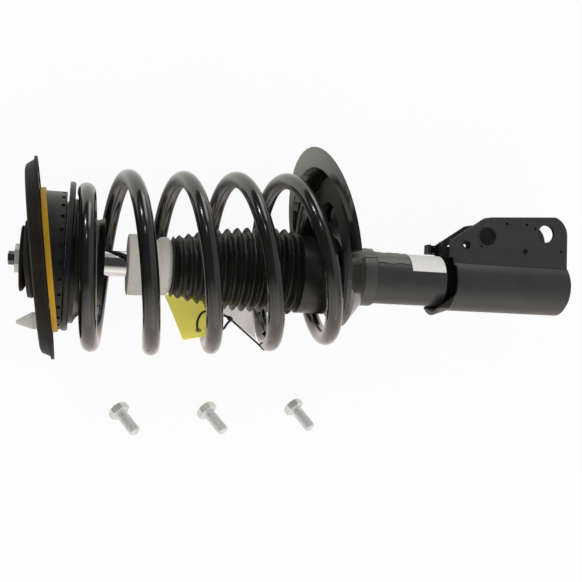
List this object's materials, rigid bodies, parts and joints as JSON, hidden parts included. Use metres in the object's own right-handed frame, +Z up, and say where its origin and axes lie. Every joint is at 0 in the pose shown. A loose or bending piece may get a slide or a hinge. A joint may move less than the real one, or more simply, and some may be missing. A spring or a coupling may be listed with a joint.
{
  "type": "strut assembly",
  "caption": "Front suspension strut: damper with knuckle bracket and lower seat, coil spring, bellows, and a tilted tower mount on a ball bearing, with loose mounting bolts.",
  "frame": {"origin": "where the damper's axis meets the outer face of the tower mount plate, which is the centre of the circle of the tower bolts", "axes": "+X runs along the damper from the tower mount to the knuckle bracket, +Y is the way the bracket's ears point, and +Z is up with the assembly lying on its side, along the knuckle bolts"},
  "size_m": [0.5136, 0.2684, 0.172],
  "materials": {
    "black_paint": "satin black electrocoat on steel",
    "plain_steel": "ground, lightly oiled",
    "sintered_steel": "sintered, matte",
    "bronze": "bronze bush with a low-friction lining",
    "rubber": "matte",
    "spring_coating": "glossy black powder coat on spring steel",
    "bellows_rubber": "semi-matte moulded rubber",
    "hard_chrome": "hard chrome, polished",
    "band_plastic": "filled low-friction plastic",
    "zinc_plate": "bright zinc plating on steel",
    "bumper_foam": "cellular polyurethane, cream",
    "pin_plastic": "natural nylon",
    "yellow_zinc": "yellow passivated zinc plating on steel",
    "housing_plastic": "glass-filled nylon, black"
  },
  "bodies": {
    "strut_body": {"reservoir_tube": "black_paint", "tube_top_cap": "black_paint", "base_cap": "black_paint", "pressure_tube": "plain_steel", "base_valve": "sintered_steel", "rod_guide": "sintered_steel", "guide_bush": "bronze", "rod_seal": "rubber", "lower_spring_seat": "black_paint", "seat_sleeve": "black_paint", "lower_spring_pad": "rubber", "knuckle_bracket": "black_paint", "hose_bracket": "black_paint", "coil_spring": "spring_coating", "bellows": "bellows_rubber"},
    "spring_seat": {"upper_spring_seat": "black_paint", "upper_spring_pad": "rubber", "lower_race": "plain_steel"},
    "bearing_cage": {"bearing_balls": "plain_steel", "ball_cage": "pin_plastic"},
    "tower_mount": {"piston_rod": "hard_chrome", "piston": "sintered_steel", "piston_band": "band_plastic", "piston_nut": "zinc_plate", "rebound_stop": "rubber", "bump_stop": "bumper_foam", "jounce_washer": "zinc_plate", "bush_sleeve": "plain_steel", "rubber_bush": "rubber", "rebound_washer": "black_paint", "top_nut": "zinc_plate", "mount_plate": "black_paint", "weld_nuts": "zinc_plate", "bush_cup": "black_paint", "locating_pin": "pin_plastic", "bearing_plate": "yellow_zinc", "bearing_housing": "housing_plastic", "upper_race": "plain_steel"},
    "loose_bolts": {"mounting_bolts": "zinc_plate"}
  },
  "joints": [
    {"name": "strut_travel", "type": "slide", "parent": "strut_body", "child": "spring_seat", "axis": [1, 0, 0], "range_m": [0, 0.105], "stiffness_N_per_m": 25000, "springref_m": -0.06, "deforming": ["coil_spring", "bellows"]},
    {"name": "steering_swivel", "type": "hinge", "parent": "spring_seat", "child": "tower_mount", "pos_m": [0, 0, 0], "axis": [1, 0, 0], "range_deg": [-45, 45]},
    {"name": "cage_roll", "type": "hinge", "parent": "spring_seat", "child": "bearing_cage", "pos_m": [0, 0, 0], "axis": [1, 0, 0], "range_deg": [-23, 23]},
    {"name": "bolts_lift", "type": "slide", "parent": "strut_body", "child": "loose_bolts", "axis": [0, 0, 1], "range_m": [0, 0.1]}
  ],
  "couplings": [
    {"joint": "cage_roll", "follows": "steering_swivel", "ratio": 0.5}
  ]
}
